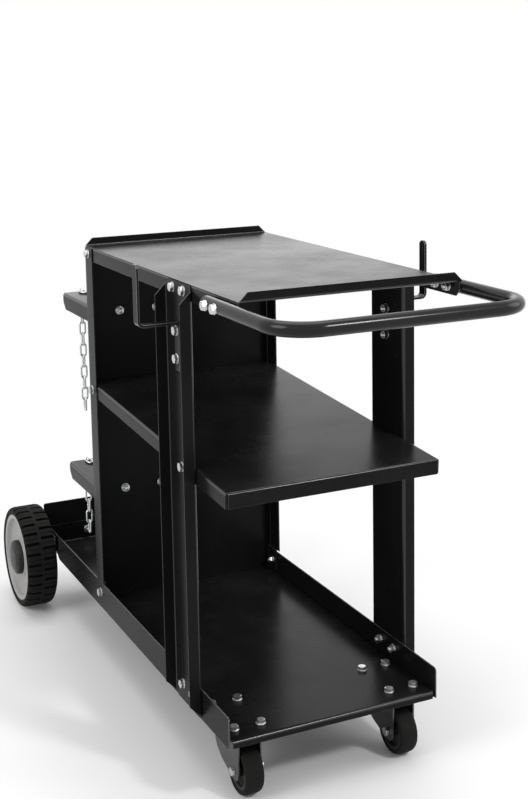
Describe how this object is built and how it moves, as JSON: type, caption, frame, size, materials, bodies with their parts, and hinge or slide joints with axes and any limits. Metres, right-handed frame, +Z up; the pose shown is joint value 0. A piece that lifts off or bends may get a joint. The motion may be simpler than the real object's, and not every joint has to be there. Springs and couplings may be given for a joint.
{
  "type": "welding cart",
  "caption": "Rolling welding cart in black sheet steel: flat top, sloping middle shelf, deck with a gas cylinder platform, chained cradles, push handle and cable hooks.",
  "frame": {"origin": "on the floor, under the middle of the whole cart's outline", "axes": "+X to the cart's right seen from its handle end looking at the front, +Y from the handle end to the rear wheels, +Z up"},
  "size_m": [0.552, 1.305, 0.842],
  "materials": {
    "black_coat": "gloss black powder coat",
    "zinc": "bright zinc plate",
    "rubber": "matt black rubber",
    "wheel_disc": "pale grey moulded plastic",
    "black_plastic": "satin black moulded plastic"
  },
  "bodies": {
    "frame": {"lower_deck": "black_coat", "left_deck_rail": "black_coat", "right_deck_rail": "black_coat", "rear_stop_plate": "black_coat", "middle_shelf": "black_coat", "top_shelf": "black_coat", "back_plate": "black_coat", "left_front_post": "black_coat", "right_front_post": "black_coat", "push_handle": "black_coat", "left_handle_plug": "black_plastic", "right_handle_plug": "black_plastic", "left_cable_hook": "black_coat", "right_cable_hook": "black_coat", "upper_cylinder_bracket": "black_coat", "lower_cylinder_bracket": "black_coat", "upper_chain_anchor": "zinc", "lower_chain_anchor": "zinc", "rear_axle": "zinc", "left_axle_lug": "black_coat", "right_axle_lug": "black_coat", "left_axle_sleeve": "zinc", "right_axle_sleeve": "zinc", "left_caster_plate": "zinc", "right_caster_plate": "zinc", "left_caster_kingpin": "zinc", "right_caster_kingpin": "zinc"},
    "left_rear_wheel": {"left_wheel_disc": "wheel_disc", "left_wheel_tyre": "rubber", "left_hub_cap": "black_plastic"},
    "left_caster_swivel": {"left_caster_fork": "zinc", "left_caster_axle_bolt": "zinc", "left_caster_axle_nut": "zinc"},
    "left_caster_wheel": {"left_caster_core": "black_plastic", "left_caster_tyre": "rubber"},
    "right_rear_wheel": {"right_wheel_disc": "wheel_disc", "right_wheel_tyre": "rubber", "right_hub_cap": "black_plastic"},
    "right_caster_swivel": {"right_caster_fork": "zinc", "right_caster_axle_bolt": "zinc", "right_caster_axle_nut": "zinc"},
    "right_caster_wheel": {"right_caster_core": "black_plastic", "right_caster_tyre": "rubber"},
    "upper_chain_swing": {"upper_chain": "zinc"},
    "lower_chain_swing": {"lower_chain": "zinc"}
  },
  "joints": [
    {"name": "left_wheel_spin", "type": "hinge", "parent": "frame", "child": "left_rear_wheel", "pos_m": [-0.237, 0.5465, 0.106], "axis": [1, 0, 0], "continuous": true},
    {"name": "left_caster_turn", "type": "hinge", "parent": "frame", "child": "left_caster_swivel", "pos_m": [-0.14, -0.3235, 0.1], "axis": [0, 0, 1], "continuous": true},
    {"name": "left_caster_spin", "type": "hinge", "parent": "left_caster_swivel", "child": "left_caster_wheel", "pos_m": [-0.14, -0.3585, 0.04], "axis": [1, 0, 0], "continuous": true},
    {"name": "right_wheel_spin", "type": "hinge", "parent": "frame", "child": "right_rear_wheel", "pos_m": [0.237, 0.5465, 0.106], "axis": [1, 0, 0], "continuous": true},
    {"name": "right_caster_turn", "type": "hinge", "parent": "frame", "child": "right_caster_swivel", "pos_m": [0.14, -0.3235, 0.1], "axis": [0, 0, 1], "continuous": true},
    {"name": "right_caster_spin", "type": "hinge", "parent": "right_caster_swivel", "child": "right_caster_wheel", "pos_m": [0.14, -0.3585, 0.04], "axis": [1, 0, 0], "continuous": true},
    {"name": "upper_chain_hinge", "type": "hinge", "parent": "frame", "child": "upper_chain_swing", "pos_m": [-0.148, 0.3945, 0.6746], "axis": [0, 1, 0], "range_deg": [-35, 35]},
    {"name": "lower_chain_hinge", "type": "hinge", "parent": "frame", "child": "lower_chain_swing", "pos_m": [-0.148, 0.3945, 0.3236], "axis": [0, 1, 0], "range_deg": [-35, 35]}
  ]
}
